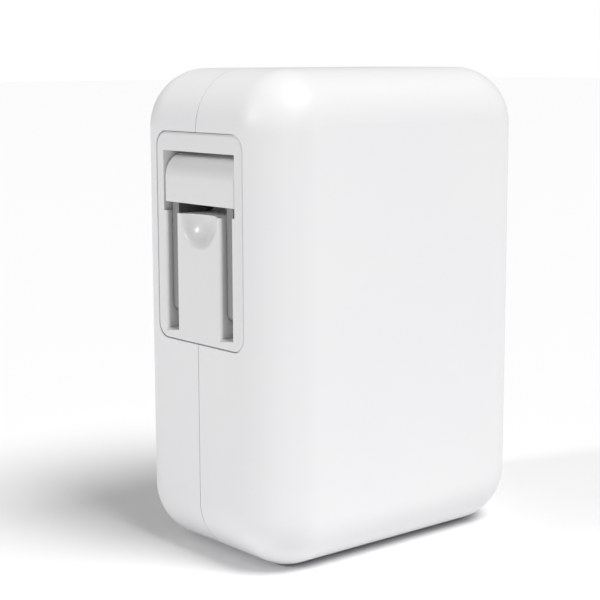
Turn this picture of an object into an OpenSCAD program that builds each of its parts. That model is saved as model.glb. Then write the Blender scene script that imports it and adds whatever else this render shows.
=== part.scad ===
/* [Body] */
// Width from the plug face to the port face, mm
body_w = 50; // [48:1:62]
// Depth from the front face to the back face
body_d = 33; // [31:1:40]
// Height as it stands
body_h = 70; // [66:1:86]
// Radius of the four upright corners of the front outline
corner_r = 8.5; // [8:0.1:10.5]
// Radius that rounds the front and back faces into the sides
edge_r = 7.5; // [5:0.1:7.8]
// Wall of the two shells
wall = 2; // [1.6:0.1:2.4]
// Fine gap that shows between the two shells
seam_gap = 0.12; // [0.06:0.01:0.2]
// How far the seam lies behind the middle of the side
seam_shift = 0.4; // [0:0.1:1]
// Reach of the back shell's locating lip into the front shell
lip_reach = 1.4; // [1:0.1:2]
// Thickness of the locating lip
lip_t = 0.9; // [0.7:0.05:1]

/* [Plug well] */
// Distance from the top of the body to the top of the well frame
well_drop = 8.8; // [8.5:0.1:12]
// Corner radius of the well frame
well_r = 2.2; // [1:0.1:3]
// Gap between the frame and the shells around it
well_gap = 0.08; // [0.05:0.01:0.2]
// Lip of the frame above the blade holder
well_lip = 2.7; // [2:0.1:4]
// Rim of the frame below the blade channels
well_rim = 1.45; // [1:0.05:3]
// Cheek of the frame on each side of the holder
cheek = 1.7; // [1.6:0.05:3]
// Thickness of the frame's front plate
face_t = 1.6; // [1.4:0.1:2]
// Back wall of the frame behind the holder
back_t = 1.2; // [1:0.1:2]
// Free space beside each blade in its channel
channel_gap = 0.6; // [0.4:0.05:0.9]
// Free space past the blade tips
tip_gap = 2.15; // [1:0.05:4]
// Width of the finger scoop at its widest
scoop_w = 8.3; // [6:0.1:9]
// Depth of the finger scoop
scoop_depth = 1.8; // [1:0.1:2.2]

/* [Folding plug] */
// Distance between the blade centres
blade_pitch = 12.7; // [12:0.1:15.5]
// Thickness of a blade
blade_t = 1.5; // [1.2:0.05:1.9]
// Width of a blade
blade_w = 6.35; // [5:0.05:7.7]
// Length of a blade beyond the holder
blade_l = 16.2; // [13:0.1:19.5]
// Rounding of a blade's tip corners
blade_tip_r = 1.4; // [0.6:0.1:2]
// Front edge of a folded blade behind the face of the body
blade_set = 0.65; // [0.4:0.05:1.2]
// Distance from the pivot to the holder's faces
pivot_r = 3.5; // [3:0.1:4.2]
// Front of the folded holder behind the face of the body
holder_set = 0.1; // [0.05:0.05:0.5]
// Plastic of the holder outside each blade
holder_side = 0.9; // [0.8:0.1:1.6]
// Plastic of the holder behind the blades
holder_back = 0.5; // [0.4:0.05:1]
// Radius of the holder's trunnions
trunnion_r = 1.5; // [1.2:0.05:1.8]
// Length of a trunnion
trunnion_l = 1.2; // [1:0.05:1.6]
// Radial running clearance of the trunnions
pivot_gap = 0.05; // [0.03:0.01:0.08]
// Clearance beside the holder
holder_gap = 0.25; // [0.1:0.05:0.3]
// Clearance of the swinging corner
swing_gap = 0.3; // [0.25:0.05:0.5]

/* [Charging ports] */
// Distance from the body's ends to the first and last port centre
port_end = 17.75; // [16:0.25:22]
// Outer width of a receptacle
usb_w = 13.1; // [11:0.1:13.6]
// Outer height of a receptacle
usb_h = 5.7; // [5:0.1:7]
// Length of a receptacle
usb_l = 14; // [12:0.5:17]
// Sheet thickness of a receptacle's case
usb_wall = 0.3; // [0.25:0.05:0.4]
// Thickness of the tongue inside a receptacle
tongue_t = 1.84; // [1.5:0.01:2.2]
// Mouth of a receptacle behind the outer face
mouth_set = 0.6; // [0.3:0.1:1]
// Plastic of the port plate around the ports
port_rim = 2; // [1.6:0.1:2.4]
// Gap around a receptacle in the port plate
port_gap = 0.1; // [0.06:0.01:0.2]

/* [Inside] */
// Thickness of the circuit boards
board_t = 1.6; // [1:0.1:2]
// Space behind the main board
board_back = 1.5; // [1.2:0.1:2.5]
// Gap beside each component on the board
part_gap = 0.5; // [0.3:0.05:0.6]
// Gap under every component
seat = 0.05; // [0.03:0.01:0.1]
// Diameter of the two storage capacitors
bulk_d = 10; // [8:0.5:10.3]
// Height of the two storage capacitors
bulk_h = 18; // [14:0.5:20]
// Diameter of the two output capacitors
out_d = 6.3; // [5:0.1:6.5]
// Height of the two output capacitors
out_h = 12; // [9:0.5:16]
// Height of the transformer core along its winding
core_h = 18; // [16:0.5:18.5]
// Thickness of the transformer core
core_t = 9; // [7:0.5:10]
// Radius of the transformer's centre leg
leg_r = 3; // [2.5:0.1:3.2]
// Thickness of the film capacitor
film_w = 4.6; // [3:0.1:5]
// Diameter of the safety capacitor
disc_d = 7.8; // [6:0.1:8]
// Diameter of the lead wires
lead_d = 1.3; // [1:0.1:1.4]

/* [Hidden] */
$fn = 64;

// body faces and the inside of its walls
side_x = body_w / 2;
in_x = side_x - wall;
in_y = body_d / 2 - wall;

// folding plug, from the pivot outwards
channel_w = blade_t + 2 * channel_gap;
holder_w = blade_pitch + blade_t + 2 * holder_side;
window_w = holder_w + 2 * holder_gap;
well_w = window_w + 2 * cheek;
top_gap = 0.3;
well_h = well_rim + tip_gap + blade_l + 2 * pivot_r + top_gap + well_lip;
well_z = body_h - well_drop - well_h;
holder_z = well_z + well_rim + tip_gap + blade_l;
pivot_x = -side_x + holder_set + pivot_r;
pivot_z = holder_z + pivot_r;
blade_x = -pivot_r - holder_set + blade_set;
heel_w = 2.5;
holder_x = blade_x + blade_w + holder_back;
swing_r = norm([holder_x, pivot_r]);
cavity_r = swing_r + swing_gap;
well_depth = holder_set + pivot_r + cavity_r + back_t;
well_back = -side_x + well_depth;
corner_cut = 1.25;
turn_r = max(norm([holder_x, pivot_r - corner_cut]), norm([holder_x - corner_cut, pivot_r]));
step_z = pivot_z - holder_x - 0.9;
tongue_z = step_z - 0.2;
floor_z = min(tongue_z - 0.05, pivot_z - turn_r - swing_gap);
spring_t = 0.3;
spring_w = 2.2;
leg_x = well_back + seat;

// ports, spread evenly between the ends of the body
port_count = 4;
port_pitch = (body_h - 2 * port_end) / (port_count - 1);
mouth_x = side_x - mouth_set;
port_board_x = mouth_x - usb_l - seat - board_t;
plate_w = usb_w + 2 * port_rim;
plate_h = body_h - 2 * port_end + usb_h + 3 * port_rim;
flange = 1.2;
tab_w = 14;

// main board: below the well it reaches out to the plug side, behind the well it is narrower
board_y = in_y - board_back - board_t;
board_x0 = -in_x + 2.5;
board_x1 = port_board_x - 1.65;
board_z0 = 7;
board_z1 = body_h - 7;
neck_x = well_back + 0.35;
neck_z = well_z - 2;
port_board_y0 = in_y - 2.5;
port_board_y1 = board_y + 1.2;
tab_z = [board_z0 + 13, board_z1 - 17];
rib = 1.2;
rib_gap = 0.15;
post_r = 1.8;
pin_r = 0.7;
posts = [[board_x0 + 6, board_z0 + 4], [neck_x + 6.8, board_z1 - 3.6], [board_x1 - 2.6, board_z0 + 4]];

// components, seen from the front, from the plug side and the port side towards the middle
bulk_x = board_x0 + bulk_d / 2 + 0.2;
bulk_z2 = well_z - flange - 1.3 - bulk_d / 2;
bulk_z1 = bulk_z2 - bulk_d - 0.7;
film_x = bulk_x + bulk_d / 2 + 2 * part_gap;
row_z = well_z - 5.1;
bridge_w = 6.4;
choke_z0 = board_z0 + 1.6;
choke_r = min(board_x1 - film_x - film_w - 2 * part_gap, row_z - max(disc_d, bridge_w) / 2 - part_gap - choke_z0) / 2;
choke_x = board_x1 - part_gap - choke_r;
choke_z = choke_z0 + choke_r;
bridge_x = board_x1 - part_gap - bridge_w;
fuse_l = bridge_x - film_x - 2 * part_gap;
bay_x0 = neck_x + lead_d + 0.8;
core_w = board_x1 - bay_x0 - 2 * part_gap;
core_x = (bay_x0 + board_x1) / 2;
core_z = well_z - 1 + core_h / 2;
coil_r = core_w / 2 - 2.6;
opto_w = 4.6;
opto_h = 3.4;
coil_y = board_y - max(2.4 + coil_r, core_t / 2 + seat + opto_h + part_gap);
top_z = core_z + core_h / 2 + 1;
plate_t = 1.2;
transistor_t = 3.5;
out_x = board_x1 - 0.2 - out_d / 2;
sink_x1 = neck_x + part_gap;
sink_x2 = out_x - out_d / 2 - part_gap - transistor_t - plate_t;

module slab(lo, hi) {
  translate(lo)
    cube(hi - lo);
}

module round_rect(a, b, r) {
  square([a - 2 * r, b], center = true);
  square([a, b - 2 * r], center = true);
  for (u = [-1, 1], v = [-1, 1])
    translate([u * (a / 2 - r), v * (b / 2 - r)])
      circle(r);
}

// a drawing in width and height, drawn out along the depth
module along_y(d) {
  rotate([90, 0, 0])
    linear_extrude(d, center = true)
      children();
}

// a drawing in depth and height, drawn out along the width from x
module along_x(x, l) {
  translate([x, 0, 0])
    rotate([90, 0, 90])
      linear_extrude(l)
        children();
}

module half_section(d, r, f) {
  translate([0, -d / 2 + f])
    square([r, d - 2 * f]);
  translate([0, -d / 2])
    square([r - f, d]);
  intersection() {
    translate([0, -d / 2])
      square([r, d]);
    for (v = [-1, 1])
      translate([r - f, v * (d / 2 - f)])
        circle(f);
  }
}

// the rounded block: outline corners of radius r, front and back edges of radius f
module body_form(w, d, h, r, f) {
  translate([0, 0, r])
    linear_extrude(h - 2 * r)
      round_rect(w, d, f);
  translate([0, 0, h / 2])
    along_x(-w / 2 + r, w - 2 * r)
      round_rect(d, h, f);
  for (q = [[1, 1, 0], [-1, 1, 90], [-1, -1, 180], [1, -1, 270]])
    translate([q[0] * (w / 2 - r), 0, h / 2 + q[1] * (h / 2 - r)])
      rotate([90, 0, 0])
        rotate([0, 0, q[2]])
          rotate_extrude(angle = 90)
            half_section(d, r, f);
}

module inside_form() {
  translate([0, 0, wall])
    body_form(body_w - 2 * wall, body_d - 2 * wall, body_h - 2 * wall, corner_r - wall, edge_r - wall);
}

// the block inside the wall whose outline the locating lip follows, from y0 to y1
module lip_block(t, y0, y1) {
  translate([0, (y0 + y1) / 2, body_h / 2])
    along_y(y1 - y0)
      round_rect(body_w - 2 * wall + 2 * t, body_h - 2 * wall + 2 * t, corner_r - wall + t);
}

// holes in the sides for the well frame and the port plate
module side_openings() {
  translate([0, 0, well_z + well_h / 2])
    along_x(-side_x - 1, edge_r + 2)
      round_rect(well_w + 2 * well_gap, well_h + 2 * well_gap, well_r + well_gap);
  translate([0, 0, body_h / 2])
    along_x(side_x - wall - 1, wall + 2)
      round_rect(plate_w + 2 * well_gap, plate_h + 2 * well_gap, 1.5 + well_gap);
}

// pairs of ribs that hold the port board's edge, on the side given by v
module board_ribs(v, edge) {
  for (x = [port_board_x - rib_gap - rib, port_board_x + board_t + rib_gap], z = [10, body_h - 15])
    slab([x, v > 0 ? edge - 1.3 : -in_y - 0.5, z], [x + rib, v > 0 ? in_y + 0.5 : -edge + 1.3, z + 5]);
}

module front_shell() {
  color([0.95, 0.95, 0.95]) {
    difference() {
      intersection() {
        body_form(body_w, body_d, body_h, corner_r, edge_r);
        slab([-body_w, -body_d, -1], [body_w, seam_shift - seam_gap / 2, body_h + 1]);
      }
      inside_form();
      lip_block(lip_t + 0.08, seam_shift - lip_reach - 0.15, seam_shift + 0.1);
      side_openings();
    }
    board_ribs(-1, port_board_y0);
  }
}

module back_shell() {
  color([0.93, 0.93, 0.94]) {
    difference() {
      union() {
        intersection() {
          body_form(body_w, body_d, body_h, corner_r, edge_r);
          slab([-body_w, seam_shift + seam_gap / 2, -1], [body_w, body_d, body_h + 1]);
        }
        lip_block(lip_t, seam_shift - lip_reach, seam_shift + 1);
      }
      inside_form();
      side_openings();
    }
    board_ribs(1, port_board_y1);
    for (p = posts)
      translate([p[0], in_y + 0.3, p[1]])
        rotate([90, 0, 0]) {
          cylinder(h = board_back + 0.3 - seat, r = post_r);
          cylinder(h = board_back + 0.3 + board_t - 0.2, r = pin_r);
        }
  }
}

module plug_frame() {
  color([0.94, 0.94, 0.94])
    difference() {
      union() {
        translate([0, 0, well_z + well_h / 2])
          along_x(-side_x, well_depth)
            round_rect(well_w, well_h, well_r);
        slab([-in_x + 0.25, -tab_w / 2, well_z - flange], [-in_x + 0.25 + flange, tab_w / 2, well_z + well_h + flange]);
        for (v = [-1, 1])
          translate([well_back - 0.1, v * blade_pitch / 2, pivot_z - 9])
            rotate([0, 90, 0])
              cylinder(h = 0.8, r = 0.6);
      }
      slab([-side_x - 1, -window_w / 2, step_z], [pivot_x, window_w / 2, pivot_z + pivot_r + top_gap]);
      intersection() {
        translate([pivot_x, 0, pivot_z])
          along_y(window_w)
            circle(cavity_r);
        union() {
          slab([-side_x + face_t, -window_w, floor_z], [well_back, window_w, well_z + well_h]);
          slab([-side_x - 1, -window_w, floor_z], [well_back, window_w, pivot_z - pivot_r]);
        }
      }
      for (v = [-1, 1]) {
        slab([-side_x - 1, v * blade_pitch / 2 - channel_w / 2, well_z + well_rim],
             [-side_x + blade_set + blade_w + 0.5, v * blade_pitch / 2 + channel_w / 2, step_z + 1]);
        slab([pivot_x + 2, v * blade_pitch / 2 - spring_w / 2 - 0.4, pivot_z - 4],
             [well_back + 1, v * blade_pitch / 2 + spring_w / 2 + 0.4, pivot_z + 3.6]);
        translate([pivot_x, v * (window_w / 2 + (trunnion_l + 0.1) / 2 - 0.5), pivot_z])
          along_y(trunnion_l + 1.1)
            circle(trunnion_r + pivot_gap);
      }
      scoop();
      slab([-side_x + face_t, -blade_pitch / 2 + channel_w / 2 + 1.2, well_z + 3],
           [well_back + 1, blade_pitch / 2 - channel_w / 2 - 1.2, tongue_z - 6]);
      slab([-side_x - 1, -blade_pitch / 2, tongue_z], [pivot_x, blade_pitch / 2, step_z + 1]);
    }
}

// bowl cut into the top edge of the tongue between the blades
module scoop() {
  a = scoop_w / 2 + 0.02;
  e = (a * a / scoop_depth - scoop_depth) / 2;
  translate([-side_x - e, 0, tongue_z - 0.43])
    sphere(scoop_depth + e);
}

module holder_outline() {
  a = 55;
  circle(pivot_r);
  polygon([
    [0, 0], [-pivot_r, 0], [-pivot_r, -pivot_r], [holder_x - corner_cut, -pivot_r], [holder_x, corner_cut - pivot_r],
    [holder_x, 1.5], [holder_x - 1.95, pivot_r * 1.33], [-pivot_r * cos(a), pivot_r * sin(a)]
  ]);
}

module blade_outline(g) {
  translate([blade_x - g, -pivot_r - blade_l])
    square([blade_w + 2 * g, blade_l + pivot_r - 1 + g]);
  translate([-0.5 - g, -1.5])
    square([heel_w + 2 * g, swing_r + 1.5]);
}

module blade_holder() {
  color([0.95, 0.95, 0.95])
    translate([pivot_x, 0, pivot_z])
      difference() {
        union() {
          along_y(holder_w)
            holder_outline();
          along_y(holder_w + 2 * trunnion_l)
            circle(trunnion_r);
        }
        for (v = [-1, 1])
          translate([0, v * blade_pitch / 2, 0])
            along_y(blade_t + 0.04)
              blade_outline(0.02);
      }
}

module blade(v) {
  color([0.72, 0.72, 0.7])
    translate([pivot_x, v * blade_pitch / 2, pivot_z])
      along_y(blade_t)
        difference() {
          intersection() {
            blade_outline(0);
            union() {
              circle(swing_r);
              translate([-blade_w * 2, -pivot_r - blade_l])
                square([blade_w * 4, blade_l + pivot_r - 1]);
            }
          }
          for (u = [0, 1])
            translate([blade_x + u * blade_w, -pivot_r - blade_l])
              difference() {
                square(2 * blade_tip_r, center = true);
                translate([(u == 0 ? 1 : -1) * blade_tip_r, blade_tip_r])
                  circle(blade_tip_r);
              }
        }
}

module blade_live() {
  blade(1);
}

module blade_neutral() {
  blade(-1);
}

// flat spring that the blade's heel meets when the plug is open
module contact_spring(v) {
  x = pivot_x + swing_r + 0.12;
  y0 = v * blade_pitch / 2 - spring_w / 2;
  y1 = y0 + spring_w;
  color([0.8, 0.62, 0.3])
    difference() {
      union() {
        slab([x, y0, pivot_z - 3.4], [x + spring_t, y1, pivot_z + 3]);
        slab([x, y0, pivot_z - 3.7], [leg_x + spring_t, y1, pivot_z - 3.4]);
        slab([leg_x, y0, pivot_z - 12], [leg_x + spring_t, y1, pivot_z - 3.4]);
      }
      translate([well_back - 1, v * blade_pitch / 2, pivot_z - 9])
        rotate([0, 90, 0])
          cylinder(h = 3, r = 0.65);
    }
}

module contact_spring_live() {
  contact_spring(1);
}

module contact_spring_neutral() {
  contact_spring(-1);
}

// insulated wire from the spring's leg down and back to the main board
module lead(v, z, tint) {
  x = leg_x + spring_t + 0.05 + lead_d / 2;
  y = v * blade_pitch / 2;
  color(tint) {
    translate([x, y, z])
      cylinder(h = pivot_z - 11 - z, d = lead_d);
    translate([x, y, z])
      sphere(d = lead_d);
    translate([x, y, z])
      rotate([-90, 0, 0])
        cylinder(h = board_y - seat - y, d = lead_d);
  }
}

module lead_live() {
  lead(1, well_z + 2.6, [0.1, 0.1, 0.1]);
}

module lead_neutral() {
  lead(-1, well_z - 0.6, [0.9, 0.9, 0.9]);
}

module port_plate() {
  color([0.9, 0.9, 0.91])
    difference() {
      translate([0, 0, body_h / 2]) {
        along_x(in_x - flange - 0.2, wall + flange + 0.2)
          round_rect(plate_w, plate_h, 1.5);
        slab([in_x - flange - 0.2, -tab_w / 2, -plate_h / 2 - flange], [in_x - 0.2, tab_w / 2, plate_h / 2 + flange]);
      }
      for (i = [1 : port_count])
        translate([0, 0, port_z(i)])
          along_x(in_x - flange - 1, wall + flange + 2)
            round_rect(usb_w + 2 * port_gap, usb_h + 2 * port_gap, 0.7 + port_gap);
    }
}

function port_z(i) = body_h - port_end - (i - 1) * port_pitch;

module usb_shell(i) {
  color([0.78, 0.79, 0.8])
    translate([0, 0, port_z(i)])
      difference() {
        along_x(mouth_x - usb_l, usb_l)
          round_rect(usb_w, usb_h, 0.7);
        along_x(mouth_x - usb_l + usb_wall, usb_l)
          round_rect(usb_w - 2 * usb_wall, usb_h - 2 * usb_wall, 0.4);
      }
}

// moulded insulator: a block at the rear and a tongue that reaches forward
module usb_tongue(i) {
  x = mouth_x - usb_l + usb_wall + seat;
  color([0.12, 0.12, 0.13])
    translate([0, 0, port_z(i)]) {
      slab([x, -usb_w / 2 + 2 * usb_wall, -usb_h / 2 + 2 * usb_wall], [x + 3, usb_w / 2 - 2 * usb_wall, usb_h / 2 - 2 * usb_wall]);
      slab([x, -5.55, usb_h / 2 - 1 - tongue_t], [mouth_x - 1.6, 5.55, usb_h / 2 - 1]);
    }
}

module usb_contacts(i) {
  color([0.85, 0.68, 0.3])
    translate([0, 0, port_z(i) + usb_h / 2 - 1 - tongue_t])
      for (y = [-3.5, -1, 1, 3.5])
        slab([mouth_x - usb_l + usb_wall + 3.2, y - 0.5, -0.25], [mouth_x - (abs(y) > 2 ? 2 : 3), y + 0.5, -0.02]);
}

module usb_shell_1() {
  usb_shell(1);
}

module usb_shell_2() {
  usb_shell(2);
}

module usb_shell_3() {
  usb_shell(3);
}

module usb_shell_4() {
  usb_shell(4);
}

module usb_tongue_1() {
  usb_tongue(1);
}

module usb_tongue_2() {
  usb_tongue(2);
}

module usb_tongue_3() {
  usb_tongue(3);
}

module usb_tongue_4() {
  usb_tongue(4);
}

module usb_contacts_1() {
  usb_contacts(1);
}

module usb_contacts_2() {
  usb_contacts(2);
}

module usb_contacts_3() {
  usb_contacts(3);
}

module usb_contacts_4() {
  usb_contacts(4);
}

module port_board() {
  color([0.1, 0.4, 0.22])
    difference() {
      slab([port_board_x, -port_board_y0, 8], [port_board_x + board_t, port_board_y1, body_h - 8]);
      for (z = tab_z)
        slab([port_board_x - 1, board_y - 0.1, z - 0.1], [port_board_x + 3, port_board_y1 + 1, z + 6.1]);
    }
}

module chip_on_port_board(z) {
  color([0.08, 0.08, 0.09])
    slab([port_board_x - seat - 1.1, -3, z], [port_board_x - seat, 2, z + 4]);
}

module charge_chip_1() {
  chip_on_port_board(body_h / 2 + 7);
}

module charge_chip_2() {
  chip_on_port_board(body_h / 2 - 11);
}

module main_board() {
  color([0.12, 0.42, 0.25])
    difference() {
      union() {
        slab([board_x0, board_y, board_z0], [board_x1, board_y + board_t, neck_z]);
        slab([neck_x, board_y, neck_z - 1], [board_x1, board_y + board_t, board_z1]);
        for (z = tab_z)
          slab([board_x1 - 1, board_y, z], [port_board_x + board_t + 0.4, board_y + board_t, z + 6]);
      }
      for (p = posts)
        translate([p[0], board_y, p[1]])
          along_y(8)
            circle(pin_r + 0.1);
    }
}

module insulation_sheet() {
  color([0.85, 0.83, 0.7])
    difference() {
      slab([board_x0 + 3.5, in_y - 0.6, board_z0], [board_x1, in_y - 0.35, board_z1]);
      for (p = posts)
        translate([p[0], in_y, p[1]])
          along_y(8)
            circle(post_r + 0.3);
    }
}

module transformer_core() {
  color([0.2, 0.2, 0.21])
    translate([core_x, coil_y, core_z])
      union() {
        difference() {
          cube([core_w, core_t, core_h], center = true);
          cube([core_w - 4.4, core_t + 1, core_h - 6], center = true);
        }
        cylinder(h = core_h - 4, r = leg_r, center = true);
      }
}

module transformer_bobbin() {
  color([0.15, 0.15, 0.16])
    translate([core_x, coil_y, core_z])
      difference() {
        union() {
          cylinder(h = core_h - 6.4, r = leg_r + 0.7, center = true);
          for (v = [-1, 1])
            translate([0, 0, v * (core_h / 2 - 3.6)])
              cylinder(h = 0.8, r = coil_r, center = true);
          for (v = [-1, 1])
            translate([-coil_r + 2.5, coil_r - 1.2, v * (core_h / 2 - 3.6) - 0.4])
              cube([2 * coil_r - 5, board_y - coil_y - coil_r + 1.2 - seat, 0.8]);
        }
        cylinder(h = core_h, r = leg_r + 0.1, center = true);
      }
}

module transformer_winding() {
  color([0.93, 0.78, 0.2])
    translate([core_x, coil_y, core_z])
      difference() {
        cylinder(h = core_h - 8.2, r = coil_r - 0.2, center = true);
        cylinder(h = core_h, r = leg_r + 0.75, center = true);
      }
}

// round can standing on the board, with its pressed waist and rubber seal end
module can(x, z, d, h) {
  translate([x, board_y - seat, z])
    rotate([90, 0, 0]) {
      cylinder(h = 1.6, r = d / 2);
      cylinder(h = h - 0.4, r = d / 2 - 0.4);
      translate([0, 0, 2.4])
        cylinder(h = h - 2.8, r = d / 2);
      cylinder(h = h, r = d / 2 - 0.9);
    }
}

module bulk_capacitor_1() {
  color([0.15, 0.17, 0.3])
    can(bulk_x, bulk_z1, bulk_d, bulk_h);
}

module bulk_capacitor_2() {
  color([0.15, 0.17, 0.3])
    can(bulk_x, bulk_z2, bulk_d, bulk_h);
}

module output_capacitor_1() {
  color([0.75, 0.75, 0.77])
    can(out_x, top_z + out_d / 2, out_d, out_h);
}

module output_capacitor_2() {
  color([0.75, 0.75, 0.77])
    can(out_x, top_z + 1.5 * out_d + 0.8, out_d, out_h);
}

module choke_core() {
  color([0.25, 0.3, 0.25])
    translate([choke_x, board_y - 4.4, choke_z])
      along_y(4.6)
        difference() {
          circle(choke_r - 0.9);
          circle(choke_r * 0.46);
        }
}

// two coils on opposite sides of the ring
module choke_winding() {
  color([0.75, 0.4, 0.2])
    translate([choke_x, board_y - 4.4, choke_z])
      difference() {
        intersection() {
          along_y(6.2)
            difference() {
              circle(choke_r);
              circle(choke_r * 0.3);
            }
          union() {
            slab([-choke_r, -4, -choke_r], [-1.3, 4, choke_r]);
            slab([1.3, -4, -choke_r], [choke_r, 4, choke_r]);
          }
        }
        along_y(4.7)
          difference() {
            circle(choke_r - 0.85);
            circle(choke_r * 0.46 - 0.05);
          }
      }
}

module filter_capacitor() {
  color([0.95, 0.8, 0.25])
    slab([film_x, board_y - seat - 11, board_z0 + 1], [film_x + film_w, board_y - seat, board_z0 + 15]);
}

module safety_capacitor() {
  x = bridge_x + bridge_w / 2;
  color([0.2, 0.4, 0.75]) {
    translate([x, board_y - 5.6, row_z])
      along_y(3)
        circle(disc_d / 2);
    for (v = [-1, 1])
      translate([x, board_y - seat, row_z + v * (disc_d / 2 - 0.35)])
        rotate([90, 0, 0])
          cylinder(h = 4.5, r = 0.25);
  }
}

module fuse() {
  color([0.75, 0.6, 0.45])
    translate([film_x, board_y - seat - 1.7, row_z + 0.3])
      rotate([0, 90, 0]) {
        cylinder(h = fuse_l, r = 1.45);
        cylinder(h = 1.4, r = 1.65);
        translate([0, 0, fuse_l - 1.4])
          cylinder(h = 1.4, r = 1.65);
      }
}

module bridge_rectifier() {
  color([0.1, 0.1, 0.1])
    slab([bridge_x, board_y - seat - 3.2, row_z - 3.2], [bridge_x + bridge_w, board_y - seat, row_z + 3.2]);
}

// power transistor against its heatsink: metal tab, moulded body and three legs
module transistor(x) {
  z = top_z + 1;
  color([0.12, 0.12, 0.12]) {
    slab([x, board_y - 16, z + 0.2], [x + 1, board_y - 5.5, z + 9.4]);
    slab([x + 0.9, board_y - 13, z], [x + transistor_t, board_y - 5, z + 9.6]);
    for (v = [0 : 2])
      slab([x + 1.8, board_y - 5.5, z + 1.8 + v * 2.54], [x + 2.3, board_y - seat, z + 2.6 + v * 2.54]);
  }
}

module heatsink(x) {
  color([0.7, 0.72, 0.74])
    slab([x, board_y - seat - 17, top_z], [x + plate_t, board_y - seat, top_z + 12]);
}

module power_switch() {
  transistor(sink_x1 + plate_t + seat);
}

module switch_heatsink() {
  heatsink(sink_x1);
}

module output_rectifier() {
  transistor(sink_x2 + plate_t + seat);
}

module rectifier_heatsink() {
  heatsink(sink_x2);
}

module optocoupler() {
  color([0.1, 0.1, 0.1])
    slab([board_x1 - 0.3 - opto_w, board_y - seat - opto_h, core_z + 1], [board_x1 - 0.3, board_y - seat, core_z + 7.4]);
}

module control_chip() {
  color([0.1, 0.1, 0.1])
    slab([bay_x0 + 0.2, board_y - seat - 1.6, core_z + 1], [bay_x0 + 3.9, board_y - seat, core_z + 6]);
}

front_shell();
back_shell();
plug_frame();
blade_holder();
blade_live();
blade_neutral();
contact_spring_live();
contact_spring_neutral();
lead_live();
lead_neutral();
port_plate();
usb_shell_1();
usb_shell_2();
usb_shell_3();
usb_shell_4();
usb_tongue_1();
usb_tongue_2();
usb_tongue_3();
usb_tongue_4();
usb_contacts_1();
usb_contacts_2();
usb_contacts_3();
usb_contacts_4();
port_board();
charge_chip_1();
charge_chip_2();
main_board();
insulation_sheet();
transformer_core();
transformer_bobbin();
transformer_winding();
bulk_capacitor_1();
bulk_capacitor_2();
output_capacitor_1();
output_capacitor_2();
choke_core();
choke_winding();
filter_capacitor();
safety_capacitor();
fuse();
bridge_rectifier();
power_switch();
switch_heatsink();
output_rectifier();
rectifier_heatsink();
optocoupler();
control_chip();
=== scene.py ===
import math
import bmesh
import bpy
from mathutils import Matrix, Vector


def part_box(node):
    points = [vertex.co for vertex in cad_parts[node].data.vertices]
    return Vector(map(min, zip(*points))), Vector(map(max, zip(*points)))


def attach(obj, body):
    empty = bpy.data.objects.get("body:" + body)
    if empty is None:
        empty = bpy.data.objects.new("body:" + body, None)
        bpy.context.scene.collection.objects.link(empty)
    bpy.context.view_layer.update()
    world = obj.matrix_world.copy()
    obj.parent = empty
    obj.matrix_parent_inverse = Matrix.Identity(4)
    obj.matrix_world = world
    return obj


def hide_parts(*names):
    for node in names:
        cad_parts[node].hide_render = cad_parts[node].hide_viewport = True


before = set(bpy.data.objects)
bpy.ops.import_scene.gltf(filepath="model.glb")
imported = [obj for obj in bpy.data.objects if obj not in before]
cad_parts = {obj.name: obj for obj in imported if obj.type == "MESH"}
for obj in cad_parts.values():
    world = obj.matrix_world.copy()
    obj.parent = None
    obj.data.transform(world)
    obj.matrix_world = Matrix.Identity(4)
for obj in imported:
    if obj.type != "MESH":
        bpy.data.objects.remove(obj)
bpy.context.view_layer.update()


# The camera looks from the front left, just above the top of the charger,
# at the corner between the big plain face and the narrow side with the plug.
# A long lens close up keeps the strong perspective of a small thing.
eye_turn = math.radians(-40.118)
eye_rise = math.radians(9.064)
eye_roll = math.radians(-0.170)
eye_distance = 0.22586
look_at = Vector((-0.006489, 0.0, 0.035863))

eye_back = Vector((math.sin(eye_turn) * math.cos(eye_rise),
                   -math.cos(eye_turn) * math.cos(eye_rise),
                   math.sin(eye_rise)))
eye_right = Vector((0, 0, 1)).cross(eye_back).normalized()
eye_up = eye_back.cross(eye_right)
rolled_right = eye_right * math.cos(eye_roll) + eye_up * math.sin(eye_roll)
rolled_up = eye_up * math.cos(eye_roll) - eye_right * math.sin(eye_roll)
eye_place = look_at + eye_back * eye_distance

camera_data = bpy.data.cameras.new("studio_camera")
camera_data.sensor_width = 36.0
camera_data.lens = 91.19
camera_data.clip_start = 0.01
camera_data.clip_end = 20.0
studio_camera = bpy.data.objects.new("studio_camera", camera_data)
studio_camera.matrix_world = Matrix((
    (rolled_right.x, rolled_up.x, eye_back.x, eye_place.x),
    (rolled_right.y, rolled_up.y, eye_back.y, eye_place.y),
    (rolled_right.z, rolled_up.z, eye_back.z, eye_place.z),
    (0, 0, 0, 1)))
bpy.context.scene.collection.objects.link(studio_camera)
bpy.context.scene.camera = studio_camera


# A pale sheet of paper lies under the charger and runs far behind it.
# It is matt, so that only a soft darkening shows where the charger stands.
def link_nodes(tree, start, finish):
    tree.links.new(start, finish)


def new_material(name):
    made = bpy.data.materials.new(name)
    made.use_nodes = True
    return made, made.node_tree, made.node_tree.nodes["Principled BSDF"]


paper_half = 4.0
paper_mesh = bpy.data.meshes.new("paper")
paper_mesh.from_pydata([(-paper_half, -paper_half, 0), (paper_half, -paper_half, 0),
                        (paper_half, paper_half, 0), (-paper_half, paper_half, 0)], [], [(0, 1, 2, 3)])
paper = bpy.data.objects.new("paper", paper_mesh)
bpy.context.scene.collection.objects.link(paper)
paper_look, _, paper_shader = new_material("white_paper")
paper_shader.inputs["Base Color"].default_value = (0.93, 0.93, 0.935, 1)
paper_shader.inputs["Roughness"].default_value = 0.95
paper_shader.inputs["Specular IOR Level"].default_value = 0.1
paper_mesh.materials.append(paper_look)


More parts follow.
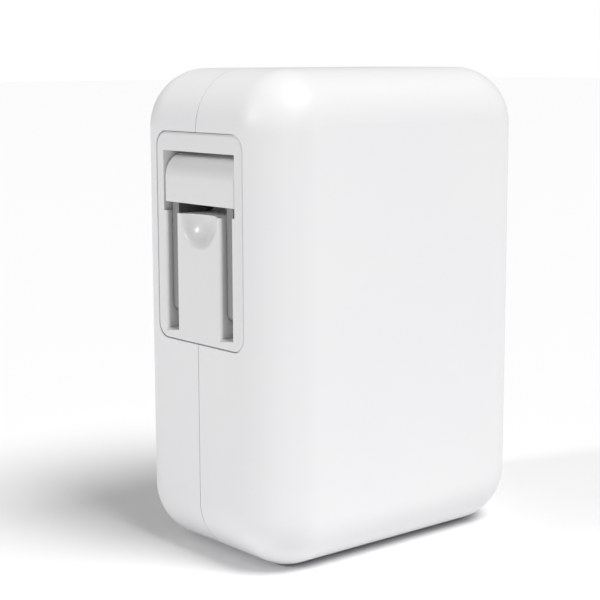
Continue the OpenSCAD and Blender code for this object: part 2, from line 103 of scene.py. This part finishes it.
# Studio light: a white room that fills the shadows, a wide soft lamp high in
# front, and a small lamp low on the plug side that shapes the folded plug.
room = bpy.data.worlds.new("studio_room")
bpy.context.scene.world = room
room.use_nodes = True
room_tree = room.node_tree
room_light = room_tree.nodes["Background"]
room_light.inputs["Color"].default_value = (1, 1, 1, 1)
room_light.inputs["Strength"].default_value = 0.27
room_seen = room_tree.nodes.new("ShaderNodeBackground")
room_seen.inputs["Color"].default_value = (1, 1, 1, 1)
room_seen.inputs["Strength"].default_value = 1.0
room_ray = room_tree.nodes.new("ShaderNodeLightPath")
room_mix = room_tree.nodes.new("ShaderNodeMixShader")
link_nodes(room_tree, room_ray.outputs["Is Camera Ray"], room_mix.inputs[0])
link_nodes(room_tree, room_light.outputs[0], room_mix.inputs[1])
link_nodes(room_tree, room_seen.outputs[0], room_mix.inputs[2])
link_nodes(room_tree, room_mix.outputs[0], room_tree.nodes["World Output"].inputs["Surface"])


def studio_lamp(name, towards, strength, spread):
    lamp = bpy.data.lights.new(name, "SUN")
    lamp.energy = strength
    lamp.angle = math.radians(spread)
    hung = bpy.data.objects.new(name, lamp)
    hung.rotation_euler = Vector(towards).to_track_quat("Z", "Y").to_euler()
    bpy.context.scene.collection.objects.link(hung)


studio_lamp("front_lamp", (0.12, -0.50, 0.86), 2.52, 30)
studio_lamp("plug_side_lamp", (-0.88, 0.25, 0.41), 0.84, 9)
bpy.context.scene.view_settings.view_transform = "Standard"


# The two shells are injection moulded in hard white plastic with a smooth,
# very slightly rippled skin, and are welded along the seam round the sides.
# Handling has left their satin gloss a little uneven.
def moulded_plastic(name, colour, gloss, uneven, ripple, ripple_size, depth, coat=0.0, coat_gloss=0.03):
    made, tree, shader = new_material(name)
    nodes = tree.nodes
    place = nodes.new("ShaderNodeTexCoord")

    tint_noise = nodes.new("ShaderNodeTexNoise")
    tint_noise.inputs["Scale"].default_value = 45.0
    tint_noise.inputs["Detail"].default_value = 3.0
    link_nodes(tree, place.outputs["Object"], tint_noise.inputs["Vector"])
    tint = nodes.new("ShaderNodeValToRGB")
    tint.color_ramp.elements[0].position = 0.3
    tint.color_ramp.elements[1].position = 0.7
    tint.color_ramp.elements[0].color = (colour[0] * 0.985, colour[1] * 0.985, colour[2] * 0.99, 1)
    tint.color_ramp.elements[1].color = (colour[0], colour[1], colour[2], 1)
    link_nodes(tree, tint_noise.outputs["Fac"], tint.inputs["Fac"])
    link_nodes(tree, tint.outputs["Color"], shader.inputs["Base Color"])

    gloss_noise = nodes.new("ShaderNodeTexNoise")
    gloss_noise.inputs["Scale"].default_value = 160.0
    gloss_noise.inputs["Detail"].default_value = 6.0
    gloss_noise.inputs["Distortion"].default_value = 0.6
    link_nodes(tree, place.outputs["Object"], gloss_noise.inputs["Vector"])
    gloss_range = nodes.new("ShaderNodeMapRange")
    gloss_range.inputs["From Min"].default_value = 0.3
    gloss_range.inputs["From Max"].default_value = 0.7
    gloss_range.inputs["To Min"].default_value = gloss
    gloss_range.inputs["To Max"].default_value = gloss + uneven
    link_nodes(tree, gloss_noise.outputs["Fac"], gloss_range.inputs["Value"])
    link_nodes(tree, gloss_range.outputs["Result"], shader.inputs["Roughness"])

    skin = nodes.new("ShaderNodeTexNoise")
    skin.inputs["Scale"].default_value = ripple_size
    skin.inputs["Detail"].default_value = 4.0
    link_nodes(tree, place.outputs["Object"], skin.inputs["Vector"])
    bump = nodes.new("ShaderNodeBump")
    bump.inputs["Strength"].default_value = ripple
    bump.inputs["Distance"].default_value = depth
    link_nodes(tree, skin.outputs["Fac"], bump.inputs["Height"])
    link_nodes(tree, bump.outputs["Normal"], shader.inputs["Normal"])

    shader.inputs["Coat Weight"].default_value = coat
    shader.inputs["Coat Roughness"].default_value = coat_gloss
    return made


def coat_node(node, look):
    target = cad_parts[node]
    if len(target.data.materials):
        target.data.materials[0] = look
    else:
        target.data.materials.append(look)


shell_white = moulded_plastic(
    "shell_white", (0.84, 0.84, 0.845), 0.44, 0.06, 0.03, 180.0, 0.00002, coat=0.06, coat_gloss=0.3)
coat_node("front_shell", shell_white)
coat_node("back_shell", shell_white)


# The plug frame is one moulding pressed into the side of the shells: a rim
# with a rounded edge, two deep channels for the blades, and between them a
# tongue with a finger scoop. Each channel is softened along one side and at
# its foot, and crisp along the other side.
same_point = 2e-6
flat_within = math.radians(0.4)
corner_over = math.radians(28)
crease_over = math.radians(50)


def softened(node, name, look, slot, body, passes, mend=None):
    """A copy of a node with rounded edges: each pass picks edges and gives their rounding and its steps."""
    work = bmesh.new()
    work.from_mesh(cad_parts[node].data)
    bmesh.ops.remove_doubles(work, verts=work.verts, dist=same_point)
    if mend:
        mend(work)
    bmesh.ops.dissolve_limit(work, angle_limit=flat_within, verts=work.verts, edges=work.edges)
    for picked, width, steps in passes:
        edges = []
        for edge in work.edges:
            if len(edge.link_faces) == 2 and edge.calc_face_angle(0.0) > corner_over:
                if picked((edge.verts[0].co + edge.verts[1].co) / 2, edge):
                    edges.append(edge)
        bmesh.ops.bevel(work, geom=edges, offset=width, offset_type="OFFSET", segments=steps,
                        profile=0.5, affect="EDGES", clamp_overlap=False, miter_outer="ARC")
    for face in work.faces:
        face.smooth = True
    for edge in work.edges:
        if len(edge.link_faces) == 2 and edge.calc_face_angle(0.0) > crease_over:
            edge.smooth = False
    rough = bpy.data.meshes.new(name + "_rough")
    work.to_mesh(rough)
    work.free()
    return finished(name, rough, look, slot, body, node)


def finished(name, rough, look, slot, body, *nodes):
    """Turns a rough mesh into the plain finished piece, with its flat faces shaded flat."""
    shape = bpy.data.objects.new(name + "_shape", rough)
    bpy.context.scene.collection.objects.link(shape)
    shading = shape.modifiers.new("shading", "WEIGHTED_NORMAL")
    shading.keep_sharp = True
    shading.weight = 80
    bpy.context.view_layer.update()
    mesh = bpy.data.meshes.new_from_object(shape.evaluated_get(bpy.context.evaluated_depsgraph_get()))
    mesh.name = name
    bpy.data.objects.remove(shape)
    bpy.data.meshes.remove(rough)
    mesh.materials.clear()
    mesh.materials.append(look)
    made = bpy.data.objects.new(name, mesh)
    bpy.context.scene.collection.objects.link(made)
    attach(made, body)
    if nodes:
        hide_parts(*nodes)
    return made


plug_white = moulded_plastic(
    "plug_white", (0.80, 0.80, 0.80), 0.34, 0.08, 0.05, 700.0, 0.00003, coat=0.32, coat_gloss=0.11)

frame_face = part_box("plug_frame")[0][0]
on_face = 2e-5
nearly = 0.0001
rim_low = 0.0314
rim_high = 0.0612
rim_side = 0.00995
rim_band = 0.0005
corner_zone = 0.0024
rim_rounding = 0.0004
channel_middle = 0.00635
channel_inner = 0.0045
channel_outer = 0.008
channel_rounding = 0.00045
tongue_top = 0.0497
scoop_radius = 0.005730
scoop_stands_out = 0.003930
scoop_drop = 0.00043
scoop_rings = (0.22, 0.42, 0.62, 0.80, 0.93)
scoop_rounding = 0.00025
on_scoop = 3e-5
scoop_centre = Vector((frame_face - scoop_stands_out, 0.0, tongue_top - scoop_drop))


def smooth_scoop(work):
    """Replaces the bowl's narrow facets with even rings that run from its rim to its deepest point."""
    bowl = [face for face in work.faces
            if all(abs((vert.co - scoop_centre).length - scoop_radius) < on_face for vert in face.verts)]
    inside = set(bowl)
    border = [edge for face in bowl for edge in face.edges
              if sum(1 for side in edge.link_faces if side in inside) == 1]
    rim_next = {}
    for edge in border:
        for vert in edge.verts:
            rim_next.setdefault(vert, []).append(edge.other_vert(vert))
    first = border[0].verts[0]
    loop = [first]
    before, now = None, first
    while True:
        ahead = [vert for vert in rim_next[now] if vert is not before][0]
        if ahead is first:
            break
        loop.append(ahead)
        before, now = now, ahead
    bmesh.ops.delete(work, geom=bowl, context="FACES")
    deepest = Vector((scoop_radius * 0.99, 0.0, -scoop_radius * 0.10)).normalized()
    ring = loop
    for share in scoop_rings:
        inner = []
        for vert in loop:
            way = (vert.co - scoop_centre).normalized().lerp(deepest, share).normalized()
            inner.append(work.verts.new(scoop_centre + way * scoop_radius))
        for spot in range(len(loop)):
            after = (spot + 1) % len(loop)
            work.faces.new((ring[spot], ring[after], inner[after], inner[spot]))
        ring = inner
    work.faces.new(ring)
    bmesh.ops.recalc_face_normals(work, faces=work.faces)


def outer_rim(middle, edge):
    at_side = abs(middle.y) > rim_side - rim_band
    at_end = middle.z < rim_low + rim_band or middle.z > rim_high - rim_band
    at_corner = (abs(middle.y) > rim_side - corner_zone
                 and not rim_low + corner_zone / 2 < middle.z < rim_high - corner_zone / 2)
    return abs(middle.x - frame_face) < on_face and (at_corner or at_side or at_end)


def channel_rim(middle, edge):
    on_front = abs(middle.x - frame_face) < on_face and middle.z < tongue_top - nearly
    at_channel = edge.is_convex and channel_inner < abs(middle.y) < channel_outer
    faces_front = middle.y > channel_middle + nearly or nearly - channel_middle < middle.y < 0
    at_foot = abs(abs(middle.y) - channel_middle) < nearly
    return on_front and at_channel and (faces_front or at_foot)


def scoop_rim(middle, edge):
    at_scoop = abs((middle - scoop_centre).length - scoop_radius) < on_scoop
    return edge.is_convex and at_scoop and middle.z < tongue_top - nearly


softened("plug_frame", "plug_frame_moulding", plug_white, "plug_plastic", "housing",
         [(outer_rim, rim_rounding, 4), (channel_rim, channel_rounding, 4), (scoop_rim, scoop_rounding, 3)],
         smooth_scoop)


# The blade holder is a small solid moulding round the roots of the blades.
# It turns on two stub trunnions, and its front is flat below and round above.
holder_rounding = 0.00015


def any_corner(middle, edge):
    return edge.is_convex


softened("blade_holder", "blade_holder_moulding", plug_white, "plug_plastic", "plug",
         [(any_corner, holder_rounding, 3)])


# The blades are stamped from brass strip and nickel plated: the faces keep
# fine draw lines along the blade, the edges are tumbled smooth.
def plated_metal(name, colour, gloss, line_scale, line_depth):
    made, tree, shader = new_material(name)
    nodes = tree.nodes
    shader.inputs["Metallic"].default_value = 1.0
    place = nodes.new("ShaderNodeTexCoord")
    stretch = nodes.new("ShaderNodeMapping")
    stretch.inputs["Scale"].default_value = line_scale
    link_nodes(tree, place.outputs["Object"], stretch.inputs["Vector"])
    lines = nodes.new("ShaderNodeTexNoise")
    lines.inputs["Scale"].default_value = 1.0
    lines.inputs["Detail"].default_value = 5.0
    link_nodes(tree, stretch.outputs["Vector"], lines.inputs["Vector"])
    tint = nodes.new("ShaderNodeValToRGB")
    tint.color_ramp.elements[0].position = 0.3
    tint.color_ramp.elements[1].position = 0.7
    tint.color_ramp.elements[0].color = (colour[0] * 0.8, colour[1] * 0.8, colour[2] * 0.78, 1)
    tint.color_ramp.elements[1].color = (colour[0], colour[1], colour[2], 1)
    link_nodes(tree, lines.outputs["Fac"], tint.inputs["Fac"])
    link_nodes(tree, tint.outputs["Color"], shader.inputs["Base Color"])
    gloss_range = nodes.new("ShaderNodeMapRange")
    gloss_range.inputs["To Min"].default_value = gloss
    gloss_range.inputs["To Max"].default_value = gloss + 0.18
    link_nodes(tree, lines.outputs["Fac"], gloss_range.inputs["Value"])
    link_nodes(tree, gloss_range.outputs["Result"], shader.inputs["Roughness"])
    bump = nodes.new("ShaderNodeBump")
    bump.inputs["Strength"].default_value = 0.25
    bump.inputs["Distance"].default_value = line_depth
    link_nodes(tree, lines.outputs["Fac"], bump.inputs["Height"])
    link_nodes(tree, bump.outputs["Normal"], shader.inputs["Normal"])
    return made


blade_nickel = plated_metal("blade_nickel", (0.33, 0.33, 0.327), 0.28, (6000, 6000, 120), 0.00002)
blade_rounding = 0.00016
for blade_node in ("blade_live", "blade_neutral"):
    softened(blade_node, blade_node + "_plated", blade_nickel, "blade_metal", "plug",
             [(any_corner, blade_rounding, 3)])


# The port plate is a separate pale moulding with a fine spark texture, held
# between the shells by two tabs, and open for the four charging ports.
port_white = moulded_plastic("port_white", (0.74, 0.74, 0.75), 0.5, 0.1, 0.5, 2600.0, 0.00004)
plate_rounding = 0.0002
softened("port_plate", "port_plate_moulding", port_white, "port_plastic", "housing",
         [(any_corner, plate_rounding, 3)])


# Each port is a case folded from nickel-plated steel round a black moulded
# insulator, whose tongue carries four gold-flashed contact strips.
case_steel = plated_metal("case_steel", (0.62, 0.62, 0.63), 0.25, (300, 4000, 4000), 0.00001)
insulator_black = moulded_plastic(
    "insulator_black", (0.018, 0.018, 0.02), 0.42, 0.1, 0.3, 1500.0, 0.00003)
contact_gold = plated_metal("contact_gold", (0.83, 0.6, 0.25), 0.2, (400, 3000, 3000), 0.00001)
for port in (1, 2, 3, 4):
    coat_node("usb_shell_%d" % port, case_steel)
    coat_node("usb_tongue_%d" % port, insulator_black)
    coat_node("usb_contacts_%d" % port, contact_gold)


# The contact springs are bent from bronze strip, and the leads from them to
# the main board are stranded wire in soft black or white insulation.
spring_bronze = plated_metal("spring_bronze", (0.66, 0.42, 0.2), 0.3, (3000, 3000, 200), 0.00001)
lead_black = moulded_plastic("lead_black", (0.02, 0.02, 0.02), 0.45, 0.1, 0.2, 900.0, 0.00003)
lead_white = moulded_plastic("lead_white", (0.75, 0.75, 0.72), 0.45, 0.1, 0.2, 900.0, 0.00003)
coat_node("contact_spring_live", spring_bronze)
coat_node("contact_spring_neutral", spring_bronze)
coat_node("lead_live", lead_black)
coat_node("lead_neutral", lead_white)


# The boards are glass laminate under green solder mask. Copper tracks show
# through the mask as slightly raised, lighter green lines.
def masked_board(name):
    made, tree, shader = new_material(name)
    nodes = tree.nodes
    place = nodes.new("ShaderNodeTexCoord")
    tracks = nodes.new("ShaderNodeTexBrick")
    tracks.inputs["Scale"].default_value = 260.0
    tracks.inputs["Mortar Size"].default_value = 0.035
    tracks.inputs["Color1"].default_value = (0.012, 0.11, 0.05, 1)
    tracks.inputs["Color2"].default_value = (0.015, 0.13, 0.06, 1)
    tracks.inputs["Mortar"].default_value = (0.03, 0.22, 0.09, 1)
    turned = nodes.new("ShaderNodeMapping")
    turned.inputs["Rotation"].default_value = (math.radians(90), 0, 0)
    link_nodes(tree, place.outputs["Object"], turned.inputs["Vector"])
    link_nodes(tree, turned.outputs["Vector"], tracks.inputs["Vector"])
    link_nodes(tree, tracks.outputs["Color"], shader.inputs["Base Color"])
    bump = nodes.new("ShaderNodeBump")
    bump.inputs["Strength"].default_value = 0.4
    bump.inputs["Distance"].default_value = 0.00004
    link_nodes(tree, tracks.outputs["Fac"], bump.inputs["Height"])
    link_nodes(tree, bump.outputs["Normal"], shader.inputs["Normal"])
    smear = nodes.new("ShaderNodeTexNoise")
    smear.inputs["Scale"].default_value = 300.0
    link_nodes(tree, place.outputs["Object"], smear.inputs["Vector"])
    gloss_range = nodes.new("ShaderNodeMapRange")
    gloss_range.inputs["To Min"].default_value = 0.25
    gloss_range.inputs["To Max"].default_value = 0.5
    link_nodes(tree, smear.outputs["Fac"], gloss_range.inputs["Value"])
    link_nodes(tree, gloss_range.outputs["Result"], shader.inputs["Roughness"])
    return made


board_green = masked_board("board_green")
coat_node("main_board", board_green)
coat_node("port_board", board_green)
film_tan = moulded_plastic("film_tan", (0.62, 0.55, 0.33), 0.3, 0.1, 0.1, 500.0, 0.00003)
coat_node("insulation_sheet", film_tan)


# The chips, the bridge and the power transistors are moulded in black epoxy
# with a matt, finely pitted skin.
epoxy_black = moulded_plastic("epoxy_black", (0.02, 0.02, 0.022), 0.55, 0.15, 0.5, 3000.0, 0.00003)
for chip in ("charge_chip_1", "charge_chip_2", "bridge_rectifier", "power_switch",
             "output_rectifier", "optocoupler", "control_chip"):
    coat_node(chip, epoxy_black)


# The transformer and the choke ring have cores of dark sintered ferrite. The
# transformer's winding is wrapped in yellow tape over a black bobbin, and the
# ring carries two coils of enamelled copper wire.
ferrite_grey = moulded_plastic("ferrite_grey", (0.045, 0.045, 0.05), 0.55, 0.2, 0.6, 1800.0, 0.00005)
bobbin_black = moulded_plastic("bobbin_black", (0.02, 0.02, 0.02), 0.45, 0.1, 0.3, 1500.0, 0.00003)
tape_yellow = moulded_plastic("tape_yellow", (0.8, 0.52, 0.05), 0.22, 0.1, 0.3, 350.0, 0.00006)
coil_copper = plated_metal("coil_copper", (0.62, 0.22, 0.08), 0.2, (5000, 5000, 5000), 0.00006)
coat_node("transformer_core", ferrite_grey)
coat_node("choke_core", ferrite_grey)
coat_node("transformer_bobbin", bobbin_black)
coat_node("transformer_winding", tape_yellow)


# The choke's two coils are single layers of thick enamelled wire, wound close
# round the ring by machine, with a bare gap between them at top and bottom.
choke_low, choke_high = (Vector(corner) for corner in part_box("choke_winding"))
ring_low, ring_high = (Vector(corner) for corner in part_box("choke_core"))
choke_centre = (ring_low + ring_high) / 2
ring_outside = (ring_high.x - ring_low.x) / 2
coil_outside = (choke_high.x - choke_low.x) / 2
ring_half_width = (ring_high.y - ring_low.y) / 2
coil_half_width = (choke_high.y - choke_low.y) / 2
wire_radius = (coil_outside - ring_outside) / 2
ring_inside = coil_outside * 0.46

half_y = (ring_half_width + coil_half_width) / 2
reach_out = coil_outside - wire_radius
reach_in = ring_inside - wire_radius * 1.3
bend = wire_radius * 1.5
bend_steps = 5
wire_sides = 8
path = []
for bend_x, bend_y, start in ((reach_out - bend, half_y - bend, 0),
                              (reach_in + bend, half_y - bend, 90),
                              (reach_in + bend, bend - half_y, 180),
                              (reach_out - bend, bend - half_y, 270)):
    for step in range(bend_steps):
        way = math.radians(start + step * 90 / (bend_steps - 1))
        outward = Vector((math.cos(way), math.sin(way), 0))
        path.append((Vector((bend_x, bend_y, 0)) + outward * bend, outward))
turn = bmesh.new()
rings = []
for place, outward in path:
    ring = []
    for side in range(wire_sides):
        way = math.radians(side * 360 / wire_sides)
        ring.append(turn.verts.new(
            place + wire_radius * (outward * math.cos(way) + Vector((0, 0, 1)) * math.sin(way))))
    rings.append(ring)
for index, ring in enumerate(rings):
    ahead = rings[(index + 1) % len(rings)]
    for side in range(wire_sides):
        after = (side + 1) % wire_sides
        turn.faces.new((ring[side], ahead[side], ahead[after], ring[after]))
bmesh.ops.recalc_face_normals(turn, faces=turn.faces)
for face in turn.faces:
    face.smooth = True
turn_profile = bpy.data.meshes.new("wire_turn")
turn.to_mesh(turn_profile)
turn.free()
wire_turn = bpy.data.objects.new("wire_turn", turn_profile)

winder = bpy.data.node_groups.new("winder", "GeometryNodeTree")
winder.interface.new_socket("Turns", in_out="INPUT", socket_type="NodeSocketInt")
winder.interface.new_socket("Spread", in_out="INPUT", socket_type="NodeSocketFloat")
winder.interface.new_socket("Unevenness", in_out="INPUT", socket_type="NodeSocketFloat")
winder.interface.new_socket("Wire", in_out="INPUT", socket_type="NodeSocketObject")
winder.interface.new_socket("Look", in_out="INPUT", socket_type="NodeSocketMaterial")
winder.interface.new_socket("Geometry", in_out="OUTPUT", socket_type="NodeSocketGeometry")
put_in = winder.nodes.new("NodeGroupInput")
put_out = winder.nodes.new("NodeGroupOutput")


def winder_math(operation, first, second):
    step = winder.nodes.new("ShaderNodeMath")
    step.operation = operation
    for socket, value in zip(step.inputs, (first, second)):
        if isinstance(value, float):
            socket.default_value = value
        else:
            link_nodes(winder, value, socket)
    return step.outputs[0]


spots = winder.nodes.new("GeometryNodeMeshLine")
spots.inputs["Offset"].default_value = (0, 0, 0)
link_nodes(winder, put_in.outputs["Turns"], spots.inputs["Count"])
turn_number = winder.nodes.new("GeometryNodeInputIndex")
last_turn = winder_math("SUBTRACT", put_in.outputs["Turns"], 1.0)
share = winder_math("DIVIDE", turn_number.outputs["Index"], last_turn)
swung = winder_math("MULTIPLY", winder_math("SUBTRACT", share, 0.5), put_in.outputs["Spread"])
uneven = winder.nodes.new("FunctionNodeRandomValue")
uneven.data_type = "FLOAT"
uneven.inputs["Seed"].default_value = 7
link_nodes(winder, winder_math("MULTIPLY", put_in.outputs["Unevenness"], -1.0), uneven.inputs[2])
link_nodes(winder, put_in.outputs["Unevenness"], uneven.inputs[3])
turning = winder.nodes.new("ShaderNodeCombineXYZ")
link_nodes(winder, winder_math("ADD", swung, uneven.outputs[1]), turning.inputs["Y"])
loop_info = winder.nodes.new("GeometryNodeObjectInfo")
link_nodes(winder, put_in.outputs["Wire"], loop_info.inputs["Object"])
laid = winder.nodes.new("GeometryNodeInstanceOnPoints")
link_nodes(winder, spots.outputs["Mesh"], laid.inputs["Points"])
link_nodes(winder, loop_info.outputs["Geometry"], laid.inputs["Instance"])
link_nodes(winder, turning.outputs[0], laid.inputs["Rotation"])
real = winder.nodes.new("GeometryNodeRealizeInstances")
link_nodes(winder, laid.outputs["Instances"], real.inputs["Geometry"])
painted = winder.nodes.new("GeometryNodeSetMaterial")
link_nodes(winder, real.outputs["Geometry"], painted.inputs["Geometry"])
link_nodes(winder, put_in.outputs["Look"], painted.inputs["Material"])
link_nodes(winder, painted.outputs["Geometry"], put_out.inputs[0])

coil_turns = 13
coil_spread = math.radians(128)
turn_unevenness = math.radians(0.4)
sockets = {item.name: item.identifier for item in winder.interface.items_tree if item.in_out == "INPUT"}
winding = bmesh.new()
for side in (0, 180):
    blank = bpy.data.meshes.new("coil_blank")
    coil = bpy.data.objects.new("coil_blank", blank)
    bpy.context.scene.collection.objects.link(coil)
    wind = coil.modifiers.new("wind", "NODES")
    wind.node_group = winder
    wind[sockets["Turns"]] = coil_turns
    wind[sockets["Spread"]] = coil_spread
    wind[sockets["Unevenness"]] = turn_unevenness
    wind[sockets["Wire"]] = wire_turn
    wind[sockets["Look"]] = coil_copper
    bpy.context.view_layer.update()
    turned = bpy.data.meshes.new_from_object(coil.evaluated_get(bpy.context.evaluated_depsgraph_get()))
    turned.transform(Matrix.Translation(choke_centre) @ Matrix.Rotation(math.radians(side), 4, "Y"))
    winding.from_mesh(turned)
    bpy.data.objects.remove(coil)
    bpy.data.meshes.remove(turned)
winding_mesh = bpy.data.meshes.new("choke_coils_rough")
for face in winding.faces:
    face.smooth = True
winding.to_mesh(winding_mesh)
winding.free()
bpy.data.objects.remove(wire_turn)
finished("choke_coils", winding_mesh, coil_copper, "coil_wire", "housing", "choke_winding")


# The capacitors: two tall cans in dark shrink sleeve, two bare aluminium ones,
# a yellow box of plastic film and a blue dipped disc. The fuse is ceramic.
sleeve_dark = moulded_plastic("sleeve_dark", (0.02, 0.025, 0.07), 0.25, 0.1, 0.2, 500.0, 0.00004)
can_aluminium = plated_metal("can_aluminium", (0.75, 0.76, 0.77), 0.28, (400, 4000, 400), 0.00001)
film_yellow = moulded_plastic("film_yellow", (0.85, 0.55, 0.04), 0.35, 0.1, 0.4, 1200.0, 0.00003)
disc_blue = moulded_plastic("disc_blue", (0.04, 0.12, 0.4), 0.3, 0.15, 0.5, 700.0, 0.00006)
fuse_ceramic = moulded_plastic("fuse_ceramic", (0.5, 0.35, 0.2), 0.6, 0.15, 0.5, 2000.0, 0.00003)
coat_node("bulk_capacitor_1", sleeve_dark)
coat_node("bulk_capacitor_2", sleeve_dark)
coat_node("output_capacitor_1", can_aluminium)
coat_node("output_capacitor_2", can_aluminium)
coat_node("filter_capacitor", film_yellow)
coat_node("safety_capacitor", disc_blue)
coat_node("fuse", fuse_ceramic)


# The two heatsinks are sawn from mill-finish aluminium strip, with the
# rolling lines along their length.
sink_aluminium = plated_metal("sink_aluminium", (0.7, 0.71, 0.73), 0.35, (3000, 200, 3000), 0.00002)
coat_node("switch_heatsink", sink_aluminium)
coat_node("rectifier_heatsink", sink_aluminium)
